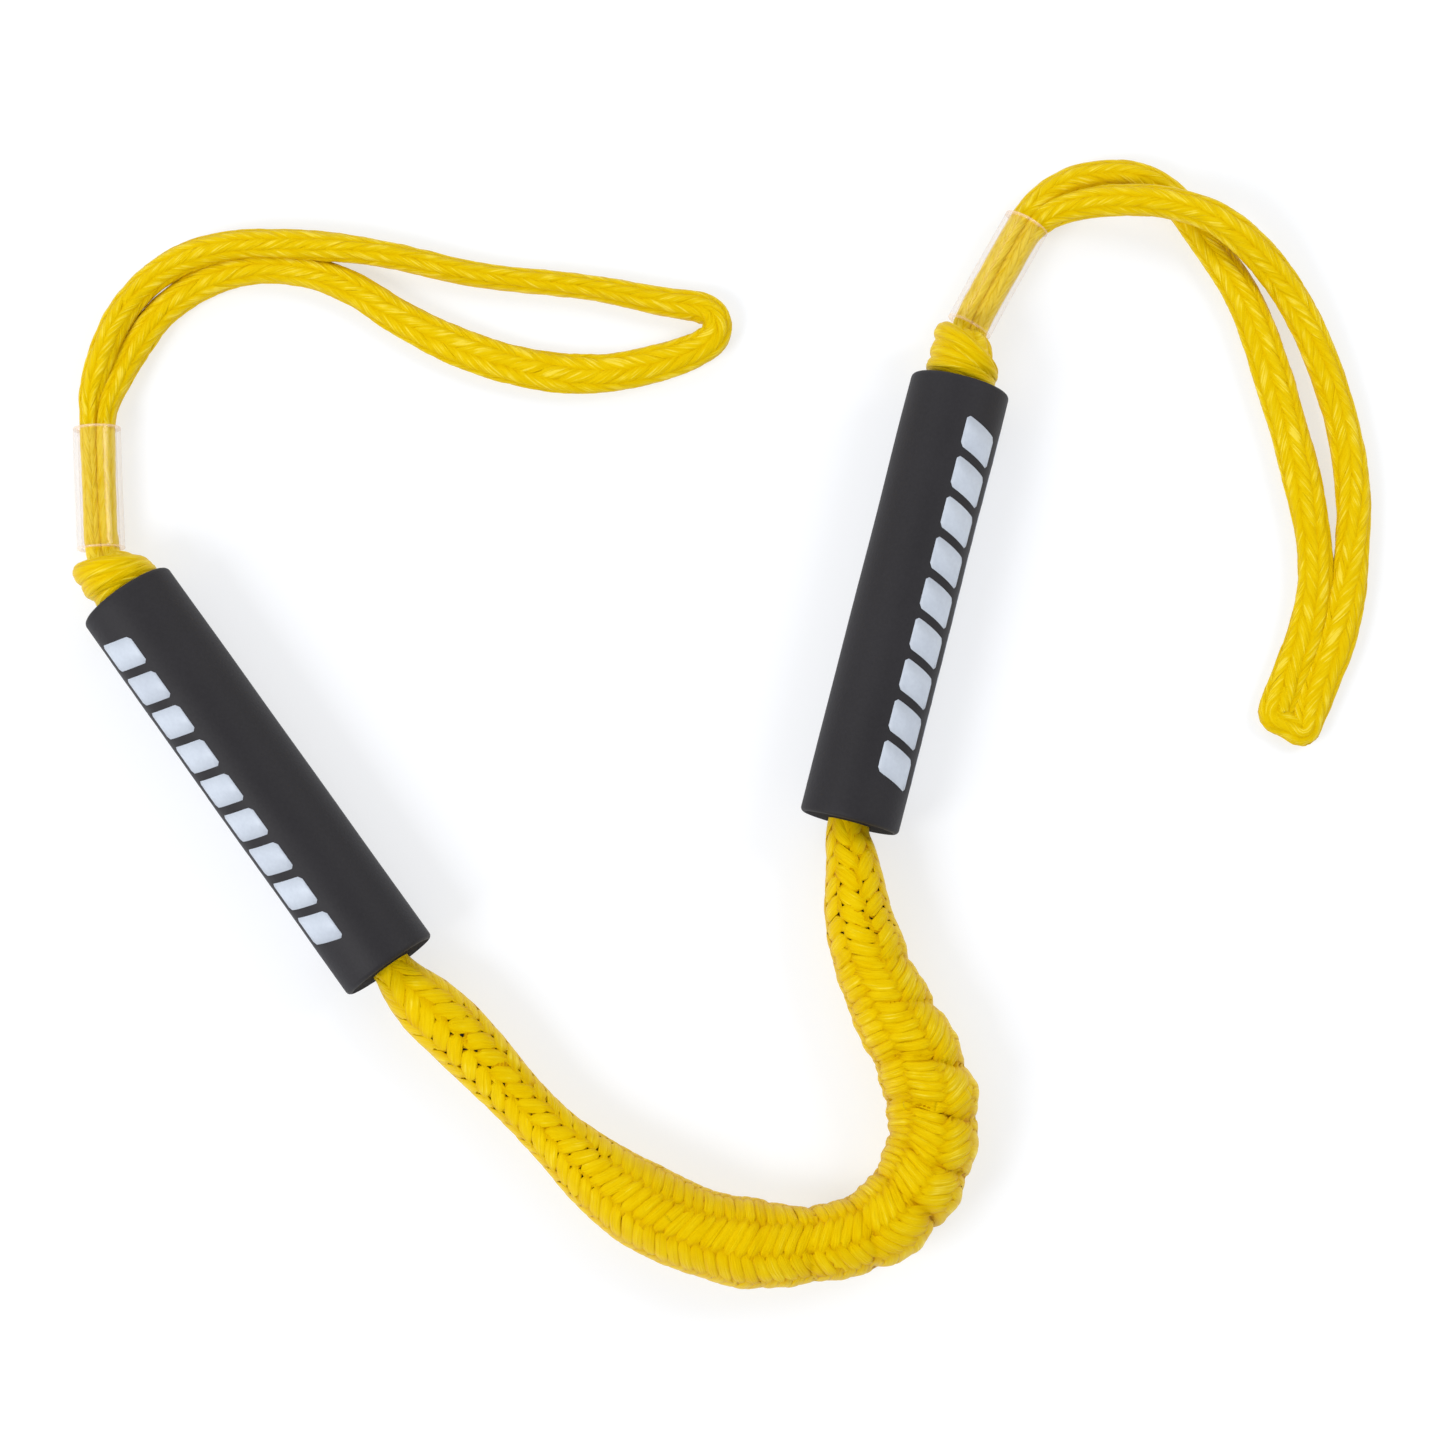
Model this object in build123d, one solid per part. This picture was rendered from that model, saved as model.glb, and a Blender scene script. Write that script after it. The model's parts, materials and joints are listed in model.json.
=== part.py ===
"""Elastic dock line for small watercraft: a braided rope gathered over a rubber core, with two foam
floats, two knots, and a doubled loop with a clear sleeve on each end. It lies on a flat surface.

Frame: millimetres, +Z up, Z = 0 is the surface. The origin is under the middle of the box round both
floats, and +X runs from the left float to the right float.
"""
from build123d import *
from math import radians, sin, cos, tan, pi
import os

# ---------------------------------------------------------------- driving dimensions
FLOAT_LENGTH = 150.0
FLOAT_DIAMETER = 33.0
FLOAT_BORE = 13.6
FLOAT_EDGE = 1.5              # rounding of the outer edges
BORE_EDGE = 0.8               # rounding of the bore's edges

ROPE_DIAMETER = 9.5           # 3/8 in hollow braid
NECK_DIAMETER = 13.44         # rope over the core, a running fit in the float's bore
CORE_DIAMETER = 9.0
CORE_CLEARANCE = 0.1          # between core and rope, on the diameter
NECK_STRAIGHT = 4.0           # how far a neck runs on past its float before it bends
NECK_BENT = 9.0               # length of neck from that bend to the gathered part
NECK_DESCENT = 3.3            # degrees below level, from that bend on

CORE_DEPTH = 60.0             # how deep the core reaches into a float
CRIMP_DEPTH = 50.0            # crimp ring's middle, from the float's inner end
CRIMP_WIDTH = 5.0
CRIMP_OUTER = 13.2
CRIMP_INNER = 11.2
CRIMP_CLEARANCE = 0.1         # between ring and groove, on the diameter and the width

KNOT_DIAMETER = 24.6
KNOT_ROUNDING = 6.0
KNOT_HEIGHT = 13.0            # knot's middle above the surface
KNOT_GAP = 0.4                # between knot and float

SLEEVE_OUTER = 15.6
SLEEVE_BORE = 12.6
SLEEVE_LENGTH = 41.0
SLEEVE_EDGE = 0.3
SLEEVE_HEIGHT = 8.0           # sleeve's axis above the surface
STEM_DIAMETER = 12.44         # both rope legs side by side, a running fit in the sleeve
STEM_BURIED = 9.0             # how far the stem reaches back from the sleeve into the knot
STEM_PROUD = 6.7              # how far the stem shows past the sleeve

FLARE_LENGTH = 10.0           # where the rope spreads from neck width to gathered width
FLARE_RUN = 20.0              # straight run from a neck's end to the first corner
LEFT_BRAID_DIAMETER = 22.0
MIDDLE_BRAID_DIAMETER = 29.0
RIGHT_BRAID_DIAMETER = 26.0

SIDES = {
    # float: middle in plan, heading of its axis towards the gathered part in degrees from +X, and
    # heading in which the rope leaves it
    # sleeve: middle of its knot end in plan and heading of its axis away from the knot
    "left": {"float": (-94.7, -32.6), "heading": -54.0, "neck_heading": -50.0, "knot_length": 14.0,
             "sleeve": (-148.9, 44.8), "sleeve_heading": 93.2},
    "right": {"float": (117.1, 25.9), "heading": -104.5, "neck_heading": -80.0, "knot_length": 17.5,
              "sleeve": (139.2, 119.8), "sleeve_heading": 60.9},
}

# Routes of the rope, one point per line of bends, (x, y, z)
LEFT_LOOP_ROUTE = [
    (-154.4, 91.5, 12.0), (-154.5, 107.0, 11.0), (-148.5, 126.0, 8.0), (-134.5, 142.0, 6.5),
    (-113.0, 151.0, 7.5), (-88.0, 152.0, 8.5), (-58.0, 146.5, 6.5), (-25.0, 137.0, 4.95),
    (12.0, 134.5, 4.95), (38.0, 129.0, 4.95), (54.5, 127.0, 4.95), (55.5, 116.0, 4.95),
    (39.0, 109.5, 4.95), (12.0, 103.5, 4.95), (-18.0, 107.5, 4.95), (-47.0, 120.5, 4.95),
    (-70.0, 136.5, 4.95), (-93.0, 141.5, 4.95), (-113.0, 138.0, 4.95), (-130.5, 126.5, 4.95),
    (-141.5, 110.0, 4.95), (-147.4, 91.5, 4.95),
]
RIGHT_LOOP_ROUTE = [
    (159.1, 162.7, 4.95), (166.5, 169.5, 4.95), (179.0, 175.5, 4.95), (196.0, 177.0, 4.95),
    (209.0, 169.0, 4.95), (219.0, 149.0, 4.95), (233.0, 130.0, 4.95), (243.0, 101.0, 4.95),
    (250.5, 68.0, 4.95), (255.0, 40.0, 4.95), (247.5, 8.0, 4.95), (239.0, -10.5, 4.95),
    (249.5, -16.0, 4.95), (259.5, 2.0, 4.95), (267.0, 32.0, 4.95), (268.0, 66.0, 4.95),
    (263.5, 98.0, 4.95), (251.0, 133.0, 6.5), (229.0, 157.0, 15.2), (205.0, 166.5, 15.2),
    (184.0, 166.5, 12.0), (172.0, 163.0, 12.0), (165.3, 159.3, 12.0),
]
# The gathered part, between the two necks. It is one sleeve of rope, kept as three solids that meet
# at two rings, each in the middle of a run, so that its stretch can be shared out along it.
GATHERED_ROUTE = [
    (-5.0, -146.0, 14.6), (24.0, -167.0, 14.8), (55.0, -181.5, 14.8), (88.0, -185.5, 14.8),
    (115.0, -177.0, 14.8), (127.0, -151.0, 14.8), (123.5, -126.0, 14.8), (112.0, -103.5, 14.7),
]
LEFT_RING_RUN = 3             # run that a ring lies on, counted from the left neck's end
RIGHT_RING_RUN = 7


def heading_vector(degrees):
    return Vector(cos(radians(degrees)), sin(radians(degrees)), 0)


def corner_radii(route):
    """Radius for each corner: as large as the shorter of its two runs allows."""
    radii = []
    for before, corner, after in zip(route, route[1:], route[2:]):
        arriving = corner - before
        leaving = after - corner
        half_turn = radians(arriving.get_angle(leaving)) / 2
        radii.append(0.45 * min(arriving.length, leaving.length) / tan(half_turn))
    return radii


def rope_path(route, name, radii=None):
    """Straight runs joined by tangent arcs."""
    points = [Vector(*point) for point in route]
    radii = radii or corner_radii(points)
    path = FilletPolyline(*points, radius=radii)
    print(f"{name}: length {path.length:.1f}, radii", [round(radius, 1) for radius in radii])
    return path


def tube_along(path, outer, bore=0.0):
    """A round tube, or a solid rope when it has no bore."""
    section = Circle(outer / 2)
    area = pi * outer ** 2 / 4
    if bore:
        section -= Circle(bore / 2)
        area -= pi * bore ** 2 / 4
    solid = sweep(Plane(origin=path @ 0, z_dir=path % 0) * section, path=path)
    print(f"    volume {solid.volume:.0f}, section times length {area * path.length:.0f}")
    return solid


def along(origin, direction, solid):
    """Stand a solid made along +Z at origin, pointing along direction."""
    return Plane(origin=origin, z_dir=direction) * solid


def cylinder(diameter, length):
    return Cylinder(diameter / 2, length, align=(Align.CENTER, Align.CENTER, Align.MIN))


def float_frame(side):
    """Inner end, outer end and direction towards the gathered part of a float's axis."""
    direction = heading_vector(SIDES[side]["heading"])
    middle = Vector(*SIDES[side]["float"], FLOAT_DIAMETER / 2)
    return middle + direction * FLOAT_LENGTH / 2, middle - direction * FLOAT_LENGTH / 2, direction


def foam_float(side):
    """Foam tube on the rope, free to turn on it."""
    _, outer_end, direction = float_frame(side)
    solid = cylinder(FLOAT_DIAMETER, FLOAT_LENGTH)
    solid = fillet(solid.edges().filter_by(GeomType.CIRCLE), FLOAT_EDGE)
    solid -= cylinder(FLOAT_BORE, FLOAT_LENGTH)
    bore_edges = [edge for edge in solid.edges().filter_by(GeomType.CIRCLE)
                  if abs(edge.radius - FLOAT_BORE / 2) < 0.01]
    return along(outer_end, direction, fillet(bore_edges, BORE_EDGE))


def neck_direction(side):
    level = heading_vector(SIDES[side]["neck_heading"])
    return (level - Vector(0, 0, tan(radians(NECK_DESCENT)))).normalized()


def neck_route(side):
    """Where a neck bends past its float, and where it ends and the gathered part starts."""
    inner_end, _, direction = float_frame(side)
    bend = inner_end + direction * NECK_STRAIGHT
    return [bend, bend + neck_direction(side) * NECK_BENT]


def neck(side):
    """Rope inside a float: hollow where the core is in it, and pinched under the crimp ring."""
    _, outer_end, direction = float_frame(side)
    start = outer_end - direction * (KNOT_GAP + SIDES[side]["knot_length"] / 2)
    rope = tube_along(rope_path([start] + neck_route(side), f"{side} neck"), NECK_DIAMETER)
    return rope - core_end(side, CORE_CLEARANCE) - pinch(side)


def pinch(side):
    """The groove that the crimp ring sits in."""
    inner_end, _, direction = float_frame(side)
    width = CRIMP_WIDTH + CRIMP_CLEARANCE
    groove = cylinder(NECK_DIAMETER + 1, width) - cylinder(CRIMP_INNER - CRIMP_CLEARANCE, width)
    return along(inner_end - direction * (CRIMP_DEPTH + width / 2), direction, groove)


def crimp(side):
    """Ring that ties the core's end to the rope."""
    inner_end, _, direction = float_frame(side)
    ring = cylinder(CRIMP_OUTER, CRIMP_WIDTH) - cylinder(CRIMP_INNER, CRIMP_WIDTH)
    return along(inner_end - direction * (CRIMP_DEPTH + CRIMP_WIDTH / 2), direction, ring)


def core_end(side, clearance=0.0):
    """End of the rubber core, inside a float."""
    inner_end, _, direction = float_frame(side)
    start = inner_end - direction * CORE_DEPTH
    path = rope_path([start] + neck_route(side), f"{side} core end")
    return tube_along(path, CORE_DIAMETER + clearance)


def knot(side):
    """Overhand knot in the doubled rope, drawn up against the float's outer end."""
    _, outer_end, direction = float_frame(side)
    length = SIDES[side]["knot_length"]
    solid = cylinder(KNOT_DIAMETER, length)
    solid = fillet(solid.edges().filter_by(GeomType.CIRCLE), KNOT_ROUNDING)
    base = outer_end - direction * KNOT_GAP
    return along(Vector(base.X, base.Y, KNOT_HEIGHT), direction * -1, solid)


def sleeve_frame(side):
    start = Vector(*SIDES[side]["sleeve"], SLEEVE_HEIGHT)
    return start, heading_vector(SIDES[side]["sleeve_heading"])


def sleeve(side):
    """Clear vinyl tube over both legs of the loop."""
    start, direction = sleeve_frame(side)
    tube = cylinder(SLEEVE_OUTER, SLEEVE_LENGTH) - cylinder(SLEEVE_BORE, SLEEVE_LENGTH)
    tube = fillet(tube.edges().filter_by(GeomType.CIRCLE), SLEEVE_EDGE)
    return along(start, direction, tube)


def stem(side):
    """Both legs of the loop, pressed together from the knot through the sleeve."""
    start, direction = sleeve_frame(side)
    length = STEM_BURIED + SLEEVE_LENGTH + STEM_PROUD
    return along(start - direction * STEM_BURIED, direction, cylinder(STEM_DIAMETER, length))


def gathered_pieces():
    """Route and corner radii of each piece of the gathered part, cut at the two rings."""
    left_end, right_end = neck_route("left")[1], neck_route("right")[1]
    left_corner = left_end + neck_direction("left") * FLARE_RUN
    right_corner = right_end + neck_direction("right") * FLARE_RUN
    points = [left_end, left_corner, *[Vector(*point) for point in GATHERED_ROUTE], right_corner, right_end]
    radii = corner_radii(points)
    left_ring = (points[LEFT_RING_RUN] + points[LEFT_RING_RUN + 1]) / 2
    right_ring = (points[RIGHT_RING_RUN] + points[RIGHT_RING_RUN + 1]) / 2
    return {
        "left": (points[:LEFT_RING_RUN + 1] + [left_ring], radii[:LEFT_RING_RUN]),
        "middle": ([left_ring] + points[LEFT_RING_RUN + 1:RIGHT_RING_RUN + 1] + [right_ring],
                   radii[LEFT_RING_RUN:RIGHT_RING_RUN]),
        "right": ([right_ring] + points[RIGHT_RING_RUN + 1:], radii[RIGHT_RING_RUN:]),
    }


def flare(end, corner, width, bore):
    """Cone where the rope spreads from the neck, and the point where it reaches full width."""
    direction = (corner - end).normalized()
    cone = Cone(NECK_DIAMETER / 2, width / 2, FLARE_LENGTH, align=(Align.CENTER, Align.CENTER, Align.MIN))
    cone -= cylinder(bore, FLARE_LENGTH)
    return along(end, direction, cone), end + direction * FLARE_LENGTH


def gathered_braid():
    """Rope gathered over the core, in three solids."""
    pieces = gathered_pieces()
    bore = CORE_DIAMETER + CORE_CLEARANCE
    left, left_radii = pieces["left"]
    middle, middle_radii = pieces["middle"]
    right, right_radii = pieces["right"]
    left_cone, left_start = flare(left[0], left[1], LEFT_BRAID_DIAMETER, bore)
    right_cone, right_start = flare(right[-1], right[-2], RIGHT_BRAID_DIAMETER, bore)
    left_path = rope_path([left_start] + left[1:], "left braid", left_radii)
    middle_path = rope_path(middle, "middle braid", middle_radii)
    right_path = rope_path(right[:-1] + [right_start], "right braid", right_radii)
    return {
        "left_braid": left_cone + tube_along(left_path, LEFT_BRAID_DIAMETER, bore),
        "middle_braid": tube_along(middle_path, MIDDLE_BRAID_DIAMETER, bore),
        "right_braid": tube_along(right_path, RIGHT_BRAID_DIAMETER, bore) + right_cone,
    }


def rubber_core():
    """The core through the gathered part, cut at the same rings as the braid."""
    return {f"{name}_core": tube_along(rope_path(route, f"{name} core", radii), CORE_DIAMETER)
            for name, (route, radii) in gathered_pieces().items()}


def loop(route, name):
    return tube_along(rope_path(route, name), ROPE_DIAMETER)


def build():
    nodes = {
        "left_loop": loop(LEFT_LOOP_ROUTE, "left loop"),
        "right_loop": loop(RIGHT_LOOP_ROUTE, "right loop"),
    }
    for side in SIDES:
        nodes[f"{side}_float"] = foam_float(side)
        nodes[f"{side}_neck"] = neck(side)
        nodes[f"{side}_core_end"] = core_end(side)
        nodes[f"{side}_crimp"] = crimp(side)
        nodes[f"{side}_knot"] = knot(side)
        nodes[f"{side}_stem"] = stem(side)
        nodes[f"{side}_sleeve"] = sleeve(side)
    nodes.update(gathered_braid())
    nodes.update(rubber_core())
    return nodes


os.makedirs("parts", exist_ok=True)
for node, solid in build().items():
    solid.label = node
    export_step(solid, f"parts/{node}.step")
    print(f"{node}: volume {solid.volume:.0f}")
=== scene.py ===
import json
from functools import cached_property
from math import cos, pi, radians, sin

import bpy
import numpy as np
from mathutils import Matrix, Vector


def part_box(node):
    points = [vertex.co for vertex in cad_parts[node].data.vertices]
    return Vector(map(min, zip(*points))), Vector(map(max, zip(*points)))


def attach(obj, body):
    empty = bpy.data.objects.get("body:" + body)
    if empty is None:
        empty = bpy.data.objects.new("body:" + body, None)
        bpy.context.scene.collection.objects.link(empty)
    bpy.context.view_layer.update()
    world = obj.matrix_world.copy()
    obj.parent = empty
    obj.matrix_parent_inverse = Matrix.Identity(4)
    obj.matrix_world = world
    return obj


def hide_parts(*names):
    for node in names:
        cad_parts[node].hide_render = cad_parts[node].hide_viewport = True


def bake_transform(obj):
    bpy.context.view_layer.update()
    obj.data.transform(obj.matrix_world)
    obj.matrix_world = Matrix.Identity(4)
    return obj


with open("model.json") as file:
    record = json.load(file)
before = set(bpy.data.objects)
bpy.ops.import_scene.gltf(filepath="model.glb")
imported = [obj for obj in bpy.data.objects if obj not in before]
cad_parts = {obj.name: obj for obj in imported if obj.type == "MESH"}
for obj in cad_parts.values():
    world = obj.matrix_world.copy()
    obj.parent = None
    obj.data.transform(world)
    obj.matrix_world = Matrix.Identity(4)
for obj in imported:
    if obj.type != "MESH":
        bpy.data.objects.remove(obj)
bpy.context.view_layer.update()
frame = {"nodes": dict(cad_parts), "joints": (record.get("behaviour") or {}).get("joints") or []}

scene = bpy.context.scene
scene.view_settings.view_transform = "Standard"

# ---------------------------------------------------------------- camera
CAMERA_AT = Vector((0.0571, -0.1260, 1.0846))
CAMERA_TARGET = Vector((0.0571, -0.0120, 0.0))
camera_data = bpy.data.cameras.new("camera")
camera_data.lens = 81.8
camera_data.sensor_width = 36.0
camera = bpy.data.objects.new("camera", camera_data)
camera.location = CAMERA_AT
camera.rotation_mode = "QUATERNION"
camera.rotation_quaternion = (CAMERA_TARGET - CAMERA_AT).to_track_quat("-Z", "Y")
scene.collection.objects.link(camera)
scene.camera = camera

# ---------------------------------------------------------------- routes, in metres
LEFT_LOOP_ROUTE = [
    # in the knot and through the sleeve
    (-0.1450, 0.0330, 0.0130), (-0.1490, 0.0395, 0.0095),
    (-0.1513, 0.0456, 0.0080), (-0.1523, 0.0646, 0.0080), (-0.1536, 0.0880, 0.0080),
    # round the loop
    (-0.1532, 0.0975, 0.0090), (-0.1505, 0.1066, 0.0105), (-0.1449, 0.1238, 0.0085),
    (-0.1322, 0.1391, 0.0075), (-0.1122, 0.1479, 0.0080), (-0.0882, 0.1485, 0.0085),
    (-0.0580, 0.1461, 0.0065), (-0.0249, 0.1377, 0.00495), (0.0120, 0.1347, 0.00495),
    (0.0380, 0.1290, 0.00495), (0.0545, 0.1270, 0.00495), (0.0555, 0.1160, 0.00495),
    (0.0392, 0.1089, 0.00495), (0.0128, 0.1034, 0.00495), (-0.0178, 0.1080, 0.00495),
    (-0.0470, 0.1207, 0.00495), (-0.0700, 0.1367, 0.00495), (-0.0930, 0.1417, 0.00495),
    (-0.1130, 0.1383, 0.00495), (-0.1308, 0.1270, 0.00495), (-0.1418, 0.1100, 0.0056),
    (-0.1467, 0.0975, 0.0073),
    # back through the sleeve to the knot
    (-0.1488, 0.0885, 0.0080), (-0.1477, 0.0650, 0.0080), (-0.1466, 0.0460, 0.0080),
    (-0.1440, 0.0385, 0.0100), (-0.1405, 0.0335, 0.0135),
]
RIGHT_LOOP_ROUTE = [
    # in the knot and through the sleeve
    (0.1360, 0.1065, 0.0130), (0.1360, 0.1140, 0.0100),
    (0.13745, 0.1219, 0.0080), (0.14665, 0.1385, 0.0080), (0.15645, 0.1560, 0.0080),
    # round the loop to its pressed fold
    (0.1614, 0.1613, 0.0068), (0.1684, 0.1677, 0.0055), (0.1798, 0.1724, 0.00495),
    (0.1960, 0.1730, 0.00495), (0.2084, 0.1662, 0.00495), (0.2201, 0.1493, 0.00495),
    (0.2332, 0.1296, 0.00495), (0.2422, 0.1005, 0.00495), (0.2508, 0.0680, 0.00495),
    (0.2551, 0.0400, 0.00495), (0.2519, 0.0189, 0.00470), (0.2452, 0.0028, 0.00420),
    (0.2422, -0.0048, 0.00390), (0.2395, -0.0103, 0.00380), (0.2444, -0.0128, 0.00380),
    # and back over the other leg
    (0.2494, -0.0167, 0.00380), (0.2509, -0.0098, 0.00390), (0.2548, 0.0007, 0.00420),
    (0.2611, 0.0152, 0.00470), (0.2660, 0.0380, 0.00495),
    (0.2679, 0.0660, 0.00495), (0.2622, 0.0976, 0.00495), (0.2486, 0.1312, 0.0065),
    (0.2268, 0.1538, 0.0152), (0.2050, 0.1616, 0.0152), (0.1846, 0.1622, 0.0120),
    (0.1738, 0.1604, 0.0102), (0.1668, 0.1582, 0.0088),
    # back through the sleeve to the knot
    (0.16095, 0.1536, 0.0080), (0.15115, 0.1361, 0.0080), (0.14195, 0.1195, 0.0080),
    (0.1405, 0.1125, 0.0100), (0.1395, 0.1050, 0.0130),
]
GATHERED_ROUTE = [
    (-0.0626, -0.0768, 0.0165), (-0.0535, -0.0893, 0.0165), (-0.0483, -0.0965, 0.0164),
    (-0.0420, -0.1033, 0.0160), (-0.0269, -0.1166, 0.0148),
    (-0.0024, -0.1434, 0.0146), (0.0241, -0.1671, 0.0148), (0.0551, -0.1818, 0.0148),
    (0.0878, -0.1838, 0.0148), (0.1128, -0.1755, 0.0148), (0.1268, -0.1512, 0.0148),
    (0.1229, -0.1260, 0.0148), (0.1100, -0.1042, 0.0147), (0.1012, -0.0793, 0.0148),
    (0.0997, -0.0594, 0.0160), (0.0975, -0.0506, 0.0164), (0.0988, -0.0420, 0.0165),
    (0.1026, -0.0293, 0.0165),
]


# ---------------------------------------------------------------- centrelines
def spline_points(name, route):
    """The points of a smooth NURBS line that has the route's points as its control points."""
    curve = bpy.data.curves.new(name, "CURVE")
    curve.dimensions = "3D"
    curve.resolution_u = 16
    spline = curve.splines.new("NURBS")
    spline.points.add(len(route) - 1)
    for point, place in zip(spline.points, route):
        point.co = (*place, 1.0)
    spline.order_u = 3
    spline.use_endpoint_u = True
    holder = bpy.data.objects.new(name, curve)
    scene.collection.objects.link(holder)
    bpy.context.view_layer.update()
    mesh = bpy.data.meshes.new_from_object(holder)
    points = np.array([v.co for v in mesh.vertices], float)
    bpy.data.meshes.remove(mesh)
    bpy.data.objects.remove(holder)
    bpy.data.curves.remove(curve)
    return points


def unit(vectors):
    return vectors / np.linalg.norm(vectors, axis=-1, keepdims=True)


def smooth(values, reach):
    """Values evened out over this many neighbours each way, ends held."""
    if reach < 1:
        return values
    weights = np.hanning(2 * reach + 3)[1:-1]
    weights /= weights.sum()
    padded = np.concatenate([np.repeat(values[:1], reach, 0), values, np.repeat(values[-1:], reach, 0)])
    if values.ndim == 1:
        return np.convolve(padded, weights, "valid")
    return np.stack([np.convolve(padded[:, k], weights, "valid") for k in range(values.shape[1])], 1)


class Line:
    """A centreline read by distance along it, with a sideways and an upward direction at each point."""

    STEP = 0.00025
    PATH_STEP = 0.002
    BEND_EVENED = 6            # steps each way

    def __init__(self, points, up=(0.0, 0.0, 1.0), evened=0.0015):
        along = np.concatenate([[0.0], np.cumsum(np.linalg.norm(np.diff(points, axis=0), axis=1))])
        keep = np.concatenate([[True], np.diff(along) > 1e-7])
        points, along = points[keep], along[keep]
        self.length = along[-1]
        self.s = np.linspace(0.0, self.length, int(self.length / self.STEP) + 1)
        self.point = np.stack([np.interp(self.s, along, points[:, k]) for k in range(3)], 1)
        tangent = unit(smooth(np.gradient(self.point, self.s, axis=0), int(evened / self.STEP)))
        if np.ndim(up) == 2:
            up = np.stack([np.interp(self.s, along, np.asarray(up)[keep][:, k]) for k in range(3)], 1)
        else:
            up = np.broadcast_to(np.array(up, float), tangent.shape)
        self.side = unit(np.cross(tangent, up))
        self.up = np.cross(self.side, tangent)
        turn = np.gradient(tangent, self.s, axis=0)
        # 1 / radius, positive towards side
        self.bend = smooth((turn * self.side).sum(1), self.BEND_EVENED)

    def read(self, values, s):
        """Values held along the line, one number or one vector each, at these distances."""
        if values.ndim == 1:
            return np.interp(s, self.s, values)
        return np.stack([np.interp(s, self.s, values[:, k]) for k in range(values.shape[1])], -1)

    def profile(self, stations, evened=0.003):
        """A smooth value along the line from pairs of distance in mm and value."""
        where, value = zip(*stations)
        raw = np.interp(self.s * 1000.0, where, value)
        return smooth(raw, int(evened / self.STEP))


def wander(rng, s, size, shortest, longest, waves=4):
    """A smooth random wave along s."""
    total = np.zeros_like(s)
    for _ in range(waves):
        length = rng.uniform(shortest, longest)
        total = total + rng.uniform(0.4, 1.0) * np.sin(2 * pi * s / length + rng.uniform(0, 2 * pi))
    return size * total / waves ** 0.5


# ---------------------------------------------------------------- braided rope
HAND = 8                       # strands that run each way round
COLUMN_TURN = radians(11.25)   # where the first over column is centred
OVER_FLATNESS = 2.0            # how flat a strand runs while it is over or under

# a strand's section: its rounded top, and two points of its flat underside
TOP = np.array([-1.0, -0.86, -0.45, 0.0, 0.45, 0.86, 1.0])
PROFILE_ACROSS = np.concatenate([TOP, [0.55, -0.55]])
PROFILE_HEIGHT = np.concatenate([0.5 * (1.0 - np.abs(TOP) ** 4.0) ** 0.6, [-0.42, -0.42]])
PROFILE_SCALE = 0.95

# the painted shade attribute, painted into the rope's colour: 0 is painted shade in the deepest creases, 1
# painted light on the brightest crown
PAINTED_SHADE_MIDDLE, PAINTED_SHADE_OVER, PAINTED_SHADE_EDGE, PAINTED_SHADE_LUMP = 0.60, 0.28, 0.28, 0.26
PAINTED_SHADE_LINING = 0.12
LINING_STEP = 0.003
LUMP_HEIGHT = 0.0013           # a lump this high brightens by PAINTED_SHADE_LUMP as painted light; hollows darken as painted shade

# how a strand strays, in metres: size, then shortest and longest wave
WIDTH_STRAY = (0.05, 0.012, 0.05)
SIDE_STRAY = (0.00016, 0.01, 0.05)
LIFT_STRAY = (0.00010, 0.006, 0.03)
TONE_STRAY = (0.5, 0.02, 0.09)


def summed(rate, s):
    """The running total of a rate along s."""
    return np.concatenate([[0.0], np.cumsum(0.5 * (rate[1:] + rate[:-1]) * np.diff(s))])


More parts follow.
